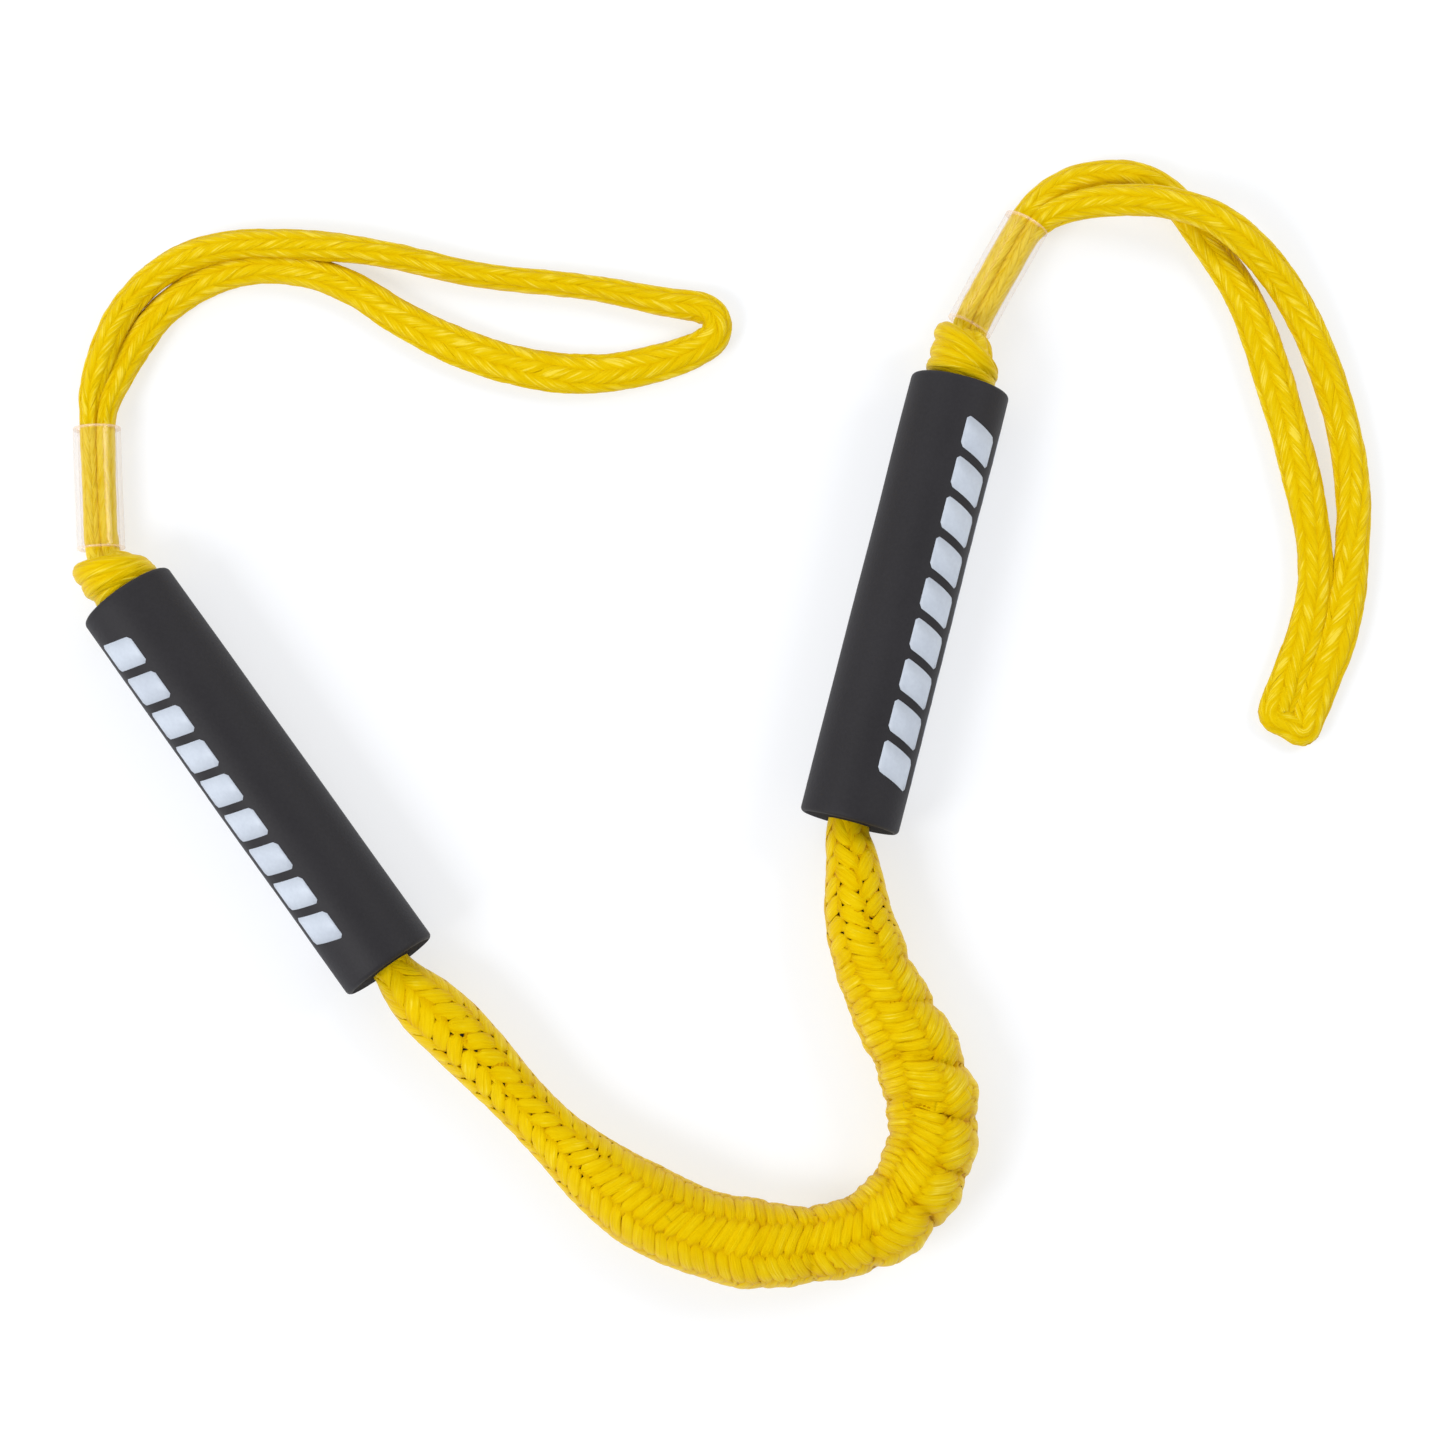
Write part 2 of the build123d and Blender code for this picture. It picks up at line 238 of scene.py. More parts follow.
class Braid:
    """Sixteen flat strands round a line, two over and two under.

    Half the width and height of the rope, the lay, and a strand's thickness and widest width are in metres.
    lumps(s, angle) adds to the radius. pinch narrows a strand where it dives. shear moves the rope's right
    side on along the line, and bow moves both sides on. fill is the share of its room that a strand takes,
    wave is how far it rises and dives in thicknesses, wobble scales how it strays, and shade darkens its
    colour as painted shade; below 0 it lightens it as painted light.
    All but lumps, fill, wave and wobble may be a number or an array along the line."""

    def __init__(self, line, half_width, half_height, lay, thick, widest, seed, row_step=0.0009, lumps=None,
                 twist=0.0, pinch=0.0, shear=0.0, bow=0.0, fill=0.96, wobble=1.0, wave=0.42, shade=0.0):
        ones = np.ones_like(line.s)
        self.line, self.seed, self.lumps = line, seed, lumps
        self.fill, self.wobble, self.wave = fill, wobble, wave
        self.half_width, self.half_height = half_width * ones, half_height * ones
        self.thick, self.widest, self.twist = thick * ones, widest * ones, twist * ones
        self.pinch, self.shear, self.bow, self.shade = pinch * ones, shear * ones, bow * ones, shade * ones
        turn_rate = 2 * pi / (lay * ones)
        self.turn = summed(turn_rate, line.s)
        self.mean = 0.5 * (self.half_width + self.half_height) - self.thick
        self.slope = self.mean * turn_rate
        strand_run = summed(np.sqrt(1 + self.slope ** 2), line.s)
        self.row_run = np.linspace(0.0, strand_run[-1], int(strand_run[-1] / row_step) + 1)
        self.row_s = np.interp(self.row_run, strand_run, line.s)

    def at(self, values, s):
        """Values held along the line, at these distances."""
        return np.interp(s, self.line.s, values)

    def row_at(self, s):
        """The row nearest to a distance along the line."""
        return int(np.argmin(np.abs(self.row_s - s)))

    @staticmethod
    def over(way, turn):
        """From -1 where a strand is under to 1 where it is over, at an angle round the rope."""
        return np.tanh(OVER_FLATNESS * way * np.cos(HAND / 2 * (turn - COLUMN_TURN))) / np.tanh(OVER_FLATNESS)

    def surface(self, s, angle, height):
        """Points at an angle round the rope and at a height over its half width and half height."""
        line = self.line
        sideways = (self.at(self.half_width, s) + height) * np.cos(angle)
        sideways = self.eased_at_bend(sideways, self.at(line.bend, s))
        upward = (self.at(self.half_height, s) + height) * np.sin(angle)
        return (line.read(line.point, s) + sideways[..., None] * line.read(line.side, s)
                + upward[..., None] * line.read(line.up, s))

    def strand(self, number, way, rows, rng):
        """Positions, painted shade and tone of one strand between two rows."""
        s, run = self.row_s, self.row_run
        twist, slope, mean = self.at(self.twist, s), self.at(self.slope, s), self.at(self.mean, s)
        angle = way * self.at(self.turn, s) + 2 * pi * number / HAND + twist
        lean_cos, lean_sin = 1 / np.sqrt(1 + slope ** 2), slope / np.sqrt(1 + slope ** 2)
        room = 2 * pi * mean / HAND * lean_cos
        width = np.minimum(self.at(self.widest, s), self.fill * room) * (1 + wander(rng, run, *WIDTH_STRAY))
        dive = 1 - self.over(way, angle - twist) ** 2
        width = width * (1 - self.at(self.pinch, s) * dive ** 6)
        shift = self.wobble * wander(rng, run, *SIDE_STRAY)
        lift = self.wobble * wander(rng, run, *LIFT_STRAY)
        tone = wander(rng, run, *TONE_STRAY)

        part = (slice(rows[0], rows[1] + 1), None)
        v = 0.5 * width[part] * PROFILE_ACROSS + shift[part]
        s_at = np.clip(s[part] - way * v * lean_sin[part], 0.0, self.line.length)
        angle_at = angle[part] + v * lean_cos[part] / mean[part]
        over = self.over(way, angle_at - self.at(self.twist, s_at))
        moved = self.at(self.shear, s_at) * np.cos(angle_at) + self.at(self.bow, s_at) * np.cos(angle_at) ** 2
        s_at = np.clip(s_at + moved, 0.0, self.line.length)

        thick = self.at(self.thick, s)[part]
        height = thick * (self.wave * over + PROFILE_SCALE * (PROFILE_HEIGHT - 1)) + lift[part]
        # painted shade: darker where the strand dives under and at its edges, painted light where it runs
        # over
        painted_shade = PAINTED_SHADE_MIDDLE - self.at(self.shade, s_at) + PAINTED_SHADE_OVER * over
        painted_shade = painted_shade - PAINTED_SHADE_EDGE * np.abs(PROFILE_ACROSS) ** 4
        if self.lumps is not None:
            lump = self.lumps(s_at, angle_at)
            height = height + lump
            # painted shade in the hollows between lumps, painted light on their tops
            painted_shade = painted_shade + PAINTED_SHADE_LUMP * np.clip(lump / LUMP_HEIGHT, -1.3, 0.4)
        place = self.surface(s_at, angle_at, height)
        return place, np.clip(painted_shade, 0, 1), np.broadcast_to(tone[part], painted_shade.shape)

    def gather(self, start=None, end=None):
        """All sixteen strands between two distances along the line, as lists for one mesh."""
        first = 0 if start is None else self.row_at(start)
        last = len(self.row_s) - 1 if end is None else self.row_at(end)
        rng = np.random.RandomState(self.seed)
        parts = []
        for way in (1, -1):
            for number in range(HAND):
                place, painted_shade, tone = self.strand(number, way, (first, last), rng)
                parts.append((place, painted_shade, tone, self.row_run[first:last + 1], 0.5 + 0.5 * PROFILE_ACROSS))
        return parts

    def lining(self, start, end, inset=1.9, around=16):
        """The inside of the rope, which shows between its strands, as one more part for the mesh: a sheet
        coloured dark as painted shade.
        """
        rows = np.linspace(start, end, max(4, int((end - start) / LINING_STEP)))
        s, angle = np.meshgrid(rows, full_turn(around), indexing="ij")
        height = -inset * self.at(self.thick, s)
        if self.lumps is not None:
            height = height + self.lumps(s, angle)
        # painted shade: the whole lining takes the darkest rope colour
        dark = np.full(s.shape, PAINTED_SHADE_LINING)
        return [(self.surface(s, angle, height), dark, 0 * dark, rows, np.full(around, 0.5))]

    @staticmethod
    def eased_at_bend(sideways, bend):
        """Sideways distances, held short of the middle of a tight bend's circle."""
        free, more = 0.55, 0.3                     # shares of the circle's radius
        reach = sideways * bend                    # 1 at the middle of the circle
        eased = free + more * (1 - np.exp(-(np.maximum(reach, free) - free) / more))
        return np.where(reach > free, eased / np.where(np.abs(bend) < 1e-6, 1e-6, bend), sideways)


FLOOR_GAP = 0.0001
UV_LENGTH = 0.004              # a strand's length for one unit of its v


TURNED_OVER = [0, 3, 2, 1]     # a face's corners the other way round


def ring_faces(rows, around, first=0, closed=False):
    """Four-sided faces between rows of points, each row closed round.

    closed also joins the last row to the first."""
    row = np.arange(rows if closed else rows - 1)[:, None]
    here = np.arange(around)[None, :]
    following = (here + 1) % around
    low, high = first + row * around, first + (row + 1) % rows * around
    return np.stack([low + here, high + here, high + following, low + following], -1)


def full_turn(count):
    return np.linspace(0, 2 * pi, count, endpoint=False)


def smooth_object(name, mesh, *materials):
    """A linked, smooth-shaded object for a mesh."""
    mesh.polygons.foreach_set("use_smooth", np.ones(len(mesh.polygons), bool))
    for material in materials:
        mesh.materials.append(material)
    mesh.update()
    made = bpy.data.objects.new(name, mesh)
    scene.collection.objects.link(made)
    return made


def mesh_object(name, places, faces, *materials):
    mesh = bpy.data.meshes.new(name)
    mesh.from_pydata([tuple(place) for place in np.asarray(places)], [], faces)
    return smooth_object(name, mesh, *materials)


def set_materials(made, second):
    """Give the second material to the faces where second holds."""
    made.data.polygons.foreach_set("material_index", np.asarray(second).astype(np.int32))


def strands_object(name, strand_parts, inside=None):
    """One mesh object of closed strands, held above the floor.

    Where a material is given for the inside, the last part, which is the lining, takes it; otherwise the
    lining keeps the rope colour, darkened as painted shade."""
    faces, uvs = [], []
    base = 0
    for index, (place, _, _, run, across) in enumerate(strand_parts):
        rows, around = place.shape[:2]
        u = np.broadcast_to(across[None, :] + 2.0 * index, (rows, around))
        v = np.broadcast_to((run / UV_LENGTH)[:, None], (rows, around))
        uvs.append(np.stack([u, v], -1).reshape(-1, 2))
        first_face = len(faces)
        faces.extend(ring_faces(rows, around, base).reshape(-1, 4).tolist())
        faces.append([base + k for k in range(around)])
        faces.append([base + (rows - 1) * around + k for k in range(around - 1, -1, -1)])
        base += rows * around
    places = np.concatenate([part[0].reshape(-1, 3) for part in strand_parts])
    places[:, 2] = np.maximum(places[:, 2], FLOOR_GAP)
    mesh = bpy.data.meshes.new(name)
    mesh.from_pydata(places.tolist(), [], faces)
    corner = np.empty(len(mesh.loops), np.int32)
    mesh.loops.foreach_get("vertex_index", corner)
    layer = mesh.uv_layers.new(name="strand")
    layer.data.foreach_set("uv", np.concatenate(uvs)[corner].astype(np.float32).ravel())
    # the painted shade and the strands' random tone, kept on the mesh for the rope's colour
    for column, attribute in ((1, "painted_shade"), (2, "tone")):
        values = np.concatenate([part[column].ravel() for part in strand_parts]).astype(np.float32)
        mesh.attributes.new(attribute, "FLOAT", "POINT").data.foreach_set("value", values)
    if inside is None:
        return smooth_object(name, mesh, ROPE)
    made = smooth_object(name, mesh, ROPE, inside)
    set_materials(made, np.arange(len(faces)) >= first_face)
    return made


# ---------------------------------------------------------------- materials
class Nodes:
    """A material's node tree with short ways to add to it."""

    def __init__(self, name):
        self.material = bpy.data.materials.new(name)
        self.material.use_nodes = True
        self.tree = self.material.node_tree
        self.tree.nodes.clear()
        self.output = self.add("ShaderNodeOutputMaterial")

    def add(self, kind, inputs=None, **settings):
        node = self.tree.nodes.new(kind)
        for key, value in settings.items():
            setattr(node, key, value)
        for key, value in (inputs or {}).items():
            if isinstance(value, bpy.types.NodeSocket):
                self.tree.links.new(value, node.inputs[key])
            else:
                node.inputs[key].default_value = value
        return node

    def math(self, operation, a, b=0.0, clamp=False):
        return self.add("ShaderNodeMath", {0: a, 1: b}, operation=operation, use_clamp=clamp).outputs[0]

    def ramp(self, value, stops):
        node = self.add("ShaderNodeValToRGB", {"Fac": value})
        elements = node.color_ramp.elements
        while len(elements) < len(stops):
            elements.new(0.5)
        for element, (position, colour) in zip(elements, stops):
            element.position = position
            element.color = (*colour, 1.0)
        return node.outputs["Color"]

    @cached_property
    def place(self):
        return self.add("ShaderNodeTexCoord").outputs["Object"]

    def noise(self, scale, detail):
        inputs = {"Vector": self.place, "Scale": scale, "Detail": detail}
        return self.add("ShaderNodeTexNoise", inputs).outputs["Fac"]

    def cells(self, scale):
        return self.add("ShaderNodeTexVoronoi", {"Vector": self.place, "Scale": scale}).outputs["Distance"]

    def scaled(self, value, factor, offset):
        return self.math("ADD", self.math("MULTIPLY", value, factor), offset)

    def weighed(self, a, share, b, rest):
        return self.math("ADD", self.math("MULTIPLY", a, share), self.math("MULTIPLY", b, rest))

    def bump(self, height, strength, distance):
        inputs = {"Height": height, "Strength": strength, "Distance": distance}
        return self.add("ShaderNodeBump", inputs).outputs["Normal"]

    def surface(self, socket):
        self.tree.links.new(socket, self.output.inputs["Surface"])
        return self.material

    def principled(self, colour, rough, normal, **more):
        """The material with a Principled shader.

        more gives further inputs, with _ for the spaces in their names."""
        inputs = {"Base Color": colour, "Roughness": rough, "Normal": normal}
        inputs.update({key.replace("_", " "): value for key, value in more.items()})
        return self.surface(self.add("ShaderNodeBsdfPrincipled", inputs).outputs[0])


def rope_material():
    """Glossy yellow filament yarn: fine lines along each strand, painted shade, darker and more orange, in
    the creases.
    """
    n = Nodes("rope_yarn")
    uv = n.add("ShaderNodeUVMap", uv_map="strand").outputs["UV"]
    split = n.add("ShaderNodeSeparateXYZ", {0: uv})
    across, along = split.outputs[0], split.outputs[1]

    def streaks(per_strand, per_length, detail):
        """Noise drawn out along the strand."""
        place = n.add("ShaderNodeCombineXYZ", {0: n.math("MULTIPLY", across, per_strand),
                                               1: n.math("MULTIPLY", along, per_length)})
        return n.add("ShaderNodeTexNoise", {"Vector": place.outputs[0], "Scale": 1.0, "Detail": detail,
                                            "Roughness": 0.6}).outputs["Fac"]

    filament, bundle, patch = streaks(24.0, 0.45, 2.0), streaks(7.0, 0.35, 1.0), streaks(1.2, 0.8, 1.0)
    painted_shade = n.add("ShaderNodeAttribute", attribute_name="painted_shade").outputs["Fac"]
    tone = n.add("ShaderNodeAttribute", attribute_name="tone").outputs["Fac"]
    painted_shade_and_streaks = painted_shade
    for lines, share in ((bundle, 0.75), (filament, 0.45), (patch, 0.35)):
        painted_shade_and_streaks = n.math("ADD", painted_shade_and_streaks, n.math("MULTIPLY", n.math("SUBTRACT", lines, 0.5), share))
    painted_shade_and_streaks = n.math("ADD", painted_shade_and_streaks, n.math("MULTIPLY", tone, 0.12), clamp=True)
    # the dark orange end is painted shade in the creases, the pale end painted highlights on the strands'
    # crowns
    colour = n.ramp(painted_shade_and_streaks, [(0.0, (0.48, 0.215, 0.0)), (0.25, (0.64, 0.370, 0.0)),
                            (0.60, (0.715, 0.465, 0.0)), (0.88, (0.765, 0.535, 0.003)),
                            (1.0, (0.86, 0.66, 0.05))])
    normal = n.bump(n.weighed(filament, 0.45, bundle, 1.0), 0.8, 0.0004)
    return n.principled(colour, n.scaled(filament, 0.22, 0.30), normal, Specular_IOR_Level=0.22,
                        Specular_Tint=(1.0, 0.76, 0.0, 1.0))


def foam_material():
    """Matte dark closed-cell foam with a fine pebbled skin."""
    n = Nodes("foam_skin")
    cloud, grain = n.noise(35.0, 3.0), n.noise(900.0, 2.0)
    colour = n.ramp(n.weighed(cloud, 0.6, grain, 0.4), [(0.25, (0.0120, 0.0110, 0.0138)),
                                                        (0.75, (0.0200, 0.0187, 0.0225))])
    normal = n.bump(n.scaled(n.cells(1500.0), 0.5, grain), 0.28, 0.0002)
    return n.principled(colour, n.scaled(cloud, 0.2, 0.52), normal, Specular_IOR_Level=0.30)


def cut_foam_shade_material():
    """The cut end of the foam and its bore: open cells, coloured darker than the skin as painted shade."""
    n = Nodes("foam_cut_painted_shade")
    cells = n.cells(1100.0)
    # painted shade: darker than the skin's colour
    colour = n.ramp(cells, [(0.1, (0.0085, 0.0080, 0.0095)), (0.6, (0.0165, 0.0155, 0.0180))])
    return n.principled(colour, n.scaled(cells, 0.1, 0.85), n.bump(cells, 0.45, 0.0003),
                        Specular_IOR_Level=0.08)


def print_material():
    """Pale screen-printed ink, worn thin in specks."""
    n = Nodes("pale_print")
    speck, cloud = n.noise(800.0, 2.0), n.noise(60.0, 2.0)
    colour = n.ramp(n.weighed(cloud, 0.6, speck, 0.4), [(0.2, (0.46, 0.51, 0.60)), (0.8, (0.59, 0.65, 0.74))])
    return n.principled(colour, n.scaled(cloud, 0.15, 0.42), n.bump(speck, 0.15, 0.0001))


def rubber_material():
    """Black rubber with a fine grain."""
    n = Nodes("core_rubber")
    grain = n.noise(500.0, 3.0)
    colour = n.ramp(grain, [(0.3, (0.006, 0.005, 0.005)), (0.7, (0.014, 0.012, 0.011))])
    return n.principled(colour, n.scaled(grain, 0.25, 0.5), n.bump(grain, 0.3, 0.0002))


def metal_material():
    """Crimped steel with a brushed grain."""
    n = Nodes("crimp_steel")
    grain = n.noise(700.0, 3.0)
    colour = n.ramp(grain, [(0.3, (0.42, 0.42, 0.43)), (0.7, (0.60, 0.60, 0.61))])
    return n.principled(colour, n.scaled(grain, 0.2, 0.3), n.bump(grain, 0.2, 0.0001), Metallic=1.0)


def vinyl_material(name, least_milk, milk_colour):
    """Clear vinyl tube: see-through in front, milkier where it is seen edge on, with a bright gloss."""
    n = Nodes(name)
    cloud = n.noise(70.0, 2.0)
    normal = n.bump(cloud, 0.35, 0.0006)
    facing = n.add("ShaderNodeLayerWeight", {"Blend": 0.30}).outputs["Facing"]
    milk = n.math("MULTIPLY", n.math("POWER", facing, 3.0), 0.76)
    milk = n.math("ADD", milk, n.scaled(cloud, 0.008, least_milk), clamp=True)
    clear = n.add("ShaderNodeBsdfTransparent", {"Color": (0.984, 0.970, 0.962, 1.0)})
    body = n.add("ShaderNodeBsdfPrincipled", {"Base Color": milk_colour, "Roughness": 0.25, "Normal": normal})
    inner = n.add("ShaderNodeMixShader", {0: milk, 1: clear.outputs[0], 2: body.outputs[0]})
    gloss = n.add("ShaderNodeBsdfGlossy", {"Color": (1.0, 0.985, 0.97, 1.0), "Roughness": 0.07,
                                           "Normal": normal})
    grazing = n.add("ShaderNodeLayerWeight", {"Blend": 0.5, "Normal": normal}).outputs["Facing"]
    mirror = n.scaled(n.math("POWER", grazing, 5.0), 0.6, 0.014)
    whole = n.add("ShaderNodeMixShader", {0: mirror, 1: inner.outputs[0], 2: gloss.outputs[0]})
    return n.surface(whole.outputs[0])


ROPE = rope_material()
FOAM = foam_material()
CUT_FOAM_SHADED = cut_foam_shade_material()
PRINT = print_material()
RUBBER = rubber_material()
METAL = metal_material()
VINYL = vinyl_material("clear_vinyl", 0.0, (0.80, 0.70, 0.68, 1.0))
# the cut rims: milkier, and tinted orange as painted light
VINYL_RIM = vinyl_material("clear_vinyl_rim", 0.32, (0.95, 0.70, 0.48, 1.0))

# ---------------------------------------------------------------- loops
LOOP_LAY = 0.068
PRESSED_LENGTH = 0.055         # how much of each leg is in the knot and the sleeve
PRESSED_PAINTED_LIGHT = -0.32          # painted light: the rope's colour is lighter there, against the shade of the sleeve over it


def rope_loop(side, route, widths, heights, seed):
    """A doubled rope loop, with the parts of both legs that are in the sleeve and the knot."""
    line = Line(spline_points(f"{side}_loop_route", route))
    half_width, half_height = line.profile(widths) / 2000.0, line.profile(heights) / 2000.0
    rng = np.random.RandomState(seed + 50)
    half_width = half_width * (1 + wander(rng, line.s, 0.025, 0.02, 0.06))
    pressed = np.minimum(line.s, line.length - line.s) < PRESSED_LENGTH
    braid = Braid(line, half_width, half_height, LOOP_LAY, 0.00070, 0.0050, seed, row_step=0.00105,
                  twist=wander(rng, line.s, 0.8, 0.12, 0.3), fill=1.2, pinch=0.05, wobble=1.2,
                  shade=smooth(np.where(pressed, PRESSED_PAINTED_LIGHT, 0.0), 12))
    made = strands_object(f"{side}_rope_loop", braid.gather() + braid.lining(0.0, line.length))
    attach(made, f"{side}_line")
    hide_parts(f"{side}_loop", f"{side}_stem")


# distance along the loop from its first end in the knot, and the rope's width or height there, all in mm
LEFT_WIDTHS = [
    (0, 6.8), (34, 6.7), (54, 6.8), (60, 7.0), (66, 8.2), (76, 9.8), (120, 10.4), (160, 10.4), (192, 9.2),
    (228, 8.5), (262, 8.8), (290, 9.8), (308, 11.4), (325, 12.2), (340, 13.0), (362, 13.9), (400, 13.3),
    (430, 12.0), (455, 10.7), (480, 10.6), (520, 10.8), (538, 10.0), (545, 8.2), (551, 7.0), (557, 6.8),
    (580, 6.7), (620, 6.8),
]
LEFT_HEIGHTS = [
    (0, 9.2), (66, 9.0), (85, 9.4), (200, 9.3), (340, 8.4), (362, 7.6), (430, 7.6), (470, 8.8), (525, 9.2),
    (545, 9.0), (620, 9.2),
]
RIGHT_WIDTHS = [
    (0, 7.1), (54, 7.2), (57, 8.4), (64, 9.6), (80, 10.4), (110, 10.8), (130, 11.2), (152, 12.4), (190, 13.6),
    (225, 12.8), (255, 11.8), (268, 13.0), (285, 13.0), (294, 13.6), (302, 12.4), (306, 9.8), (312, 9.8),
    (317, 11.2), (323, 13.6), (345, 13.2), (362, 13.0), (375, 11.8), (405, 11.8), (440, 11.6), (480, 11.8),
    (510, 11.2), (540, 10.6), (562, 9.6), (565, 8.4), (569, 7.2), (640, 7.1),
]
RIGHT_HEIGHTS = [
    (0, 9.4), (80, 9.4), (165, 8.4), (262, 7.8), (285, 7.0), (330, 7.0), (360, 7.8), (440, 8.4), (510, 9.2),
    (640, 9.4),
]
rope_loop("left", LEFT_LOOP_ROUTE, LEFT_WIDTHS, LEFT_HEIGHTS, 11)
rope_loop("right", RIGHT_LOOP_ROUTE, RIGHT_WIDTHS, RIGHT_HEIGHTS, 23)

# ---------------------------------------------------------------- gathered rope over the core
gathered = Line(spline_points("gathered_route", GATHERED_ROUTE), evened=0.003)


def nearest(place):
    """The distance along the gathered line of its point nearest to a place."""
    return float(gathered.s[np.argmin(np.linalg.norm(gathered.point - np.array(place), axis=1))])


# where the stretching pieces meet, and where the rope enters the floats
LEFT_RING = nearest((0.0395, -0.1742, 0.0148))
RIGHT_RING = nearest((0.1252, -0.1385, 0.0148))
LEFT_FACE = nearest((-0.0506, -0.0933, 0.0165))
RIGHT_FACE = nearest((0.0983, -0.0467, 0.0165))

# distance in mm from the left float's face, with a value: mm for width, lay and thickness of a strand
GATHERED_WIDTHS = [
    (-14, 12.8), (0, 13.4), (4, 15.2), (10, 18.4), (18, 21.4), (27, 22.0), (40, 21.2), (55, 18.9), (66, 18.2),
    (78, 19.4), (94, 24.2), (112, 28.8), (130, 28.4), (142, 28.6), (150, 30.0), (158, 27.4), (166, 24.8),
    (182, 25.4), (199, 27.4), (212, 28.6), (225, 29.4), (238, 30.2), (251, 28.4), (264, 27.8), (278, 25.8),
    (292, 24.6), (306, 21.8), (319, 18.2), (331, 14.2), (340, 13.0), (360, 12.8),
]
GATHERED_LAYS = [
    (-14, 60), (0, 58), (20, 54), (55, 55), (80, 46), (96, 36), (112, 31), (150, 30), (200, 28), (250, 26),
    (285, 33), (300, 46), (315, 56), (360, 62),
]
GATHERED_THICK = [(-14, 0.55), (60, 0.55), (100, 0.80), (280, 0.85), (300, 0.6), (360, 0.55)]
# shares and angles in radians
GATHERED_PINCH = [
    (-14, 0.10), (20, 0.25), (28, 0.72), (90, 0.70), (104, 0.42), (285, 0.40), (296, 0.70), (325, 0.72),
    (335, 0.3),
]
# painted shade on the gathered rope's colour, most in its bunched middle
GATHERED_PAINTED_SHADE = [(0, 0.10), (95, 0.10), (115, 0.17), (180, 0.17), (230, 0.12)]
GATHERED_TWIST = [(0, 0.35), (60, 0.1), (120, -0.15), (200, 0.15), (260, -0.2), (340, 0.2)]
FOLD_AMOUNT = [
    (0, 0), (120, 0.0), (150, 0.35), (185, 0.7), (205, 1.0), (265, 1.0), (285, 0.5), (300, 0.12), (312, 0.0),
]
# metres
GATHERED_SHEAR = [(-14, 0.0), (90, 0.0), (130, -0.0010), (165, -0.0006), (200, -0.0004), (285, 0.0)]
GATHERED_BOW = [
    (-14, 0.0), (100, 0.0006), (185, 0.0012), (205, 0.0040), (270, 0.0048), (290, 0.0020), (310, 0.0),
]
GATHERED_SLANT = [(-14, 0.0), (185, 0.0), (235, 0.0050), (255, 0.0062), (280, 0.0060), (300, 0.0)]
MM = 0.001
ROUNDNESS, MOST_HALF_HEIGHT = 0.985, 0.0145
STRAND_WIDEST = 0.0066

# creases between folds, in mm from the left face: slight ones, the rolled ones in the bend, slight ones again
FOLD_EDGES = [
    100.0, 118.0, 135.0, 153.0, 170.0,
    187.0, 205.0, 220.0, 235.5, 252.5, 272.0, 287.5,
    302.0, 316.0,
]
FOLD_HEIGHT, RIPPLE_HEIGHT = 0.0036, 0.00025


def along_gathered(stations, scale=1.0, evened=0.006):
    """A smooth value along the gathered line, from pairs of distance from the left face and value."""
    return gathered.profile([(s + 1000.0 * LEFT_FACE, v * scale) for s, v in stations], evened)


fold_amount, fold_slant = along_gathered(FOLD_AMOUNT), along_gathered(GATHERED_SLANT)
fold_edges = np.array(FOLD_EDGES) / 1000.0 + LEFT_FACE


def folds(s, angle):
    """Rolled folds: rounded lobes with a narrow valley between, slanted across the rope, each of its own
    size.
    """
    amount = np.interp(s, gathered.s, fold_amount)
    slanted = s + np.interp(s, gathered.s, fold_slant) * np.cos(angle) + 0.0012 * np.cos(2 * angle + s * 90.0)
    index = np.clip(np.searchsorted(fold_edges, slanted) - 1, 0, len(fold_edges) - 2)
    low, high = fold_edges[index], fold_edges[index + 1]
    part = np.clip((slanted - low) / (high - low), 0, 1)
    lobe = (4 * part * (1 - part)) ** 0.55 - 0.70
    own_size = 0.75 + 0.35 * np.sin(index * 2.4 + 1.0)
    side = 0.72 + 0.28 * np.cos(angle - 0.15)
    ripple = RIPPLE_HEIGHT * np.sin(s * 900.0 + 3 * angle)
    return amount * (FOLD_HEIGHT * lobe * own_size * side + ripple)


half_width = along_gathered(GATHERED_WIDTHS, MM / 2, 0.004)
gathered_braid = Braid(gathered, half_width, np.minimum(half_width * ROUNDNESS, MOST_HALF_HEIGHT),
                       along_gathered(GATHERED_LAYS, MM), along_gathered(GATHERED_THICK, MM),
                       STRAND_WIDEST, 7, row_step=0.00115, lumps=folds, fill=1.12, wobble=1.4, wave=0.20,
                       shade=along_gathered(GATHERED_PAINTED_SHADE),
                       pinch=along_gathered(GATHERED_PINCH, evened=0.004),
                       shear=along_gathered(GATHERED_SHEAR, evened=0.010),
                       bow=along_gathered(GATHERED_BOW, evened=0.010),
                       twist=along_gathered(GATHERED_TWIST, evened=0.02))

CORE_RADIUS = 0.0045
LINING_GAP = 0.004             # from a float's face to the lining's end


def core_tube(name, start, end):
    """The rubber core between two distances along the line, with faint ribs along it."""
    stations = np.linspace(start, end, max(8, int((end - start) / 0.002)))
    turn = full_turn(32)
    middle, across, up = (gathered.read(values, stations)[:, None]
                          for values in (gathered.point, gathered.side, gathered.up))
    radius = CORE_RADIUS * (1 + 0.02 * np.cos(8 * turn))
    places = middle + (radius * np.cos(turn))[:, None] * across + (radius * np.sin(turn))[:, None] * up
    count, around = places.shape[:2]
    faces = ring_faces(count, around)[..., TURNED_OVER].reshape(-1, 4).tolist()
    faces.append(list(range(around - 1, -1, -1)))
    faces.append([(count - 1) * around + k for k in range(around)])
    return mesh_object(name, places.reshape(-1, 3), faces, RUBBER)


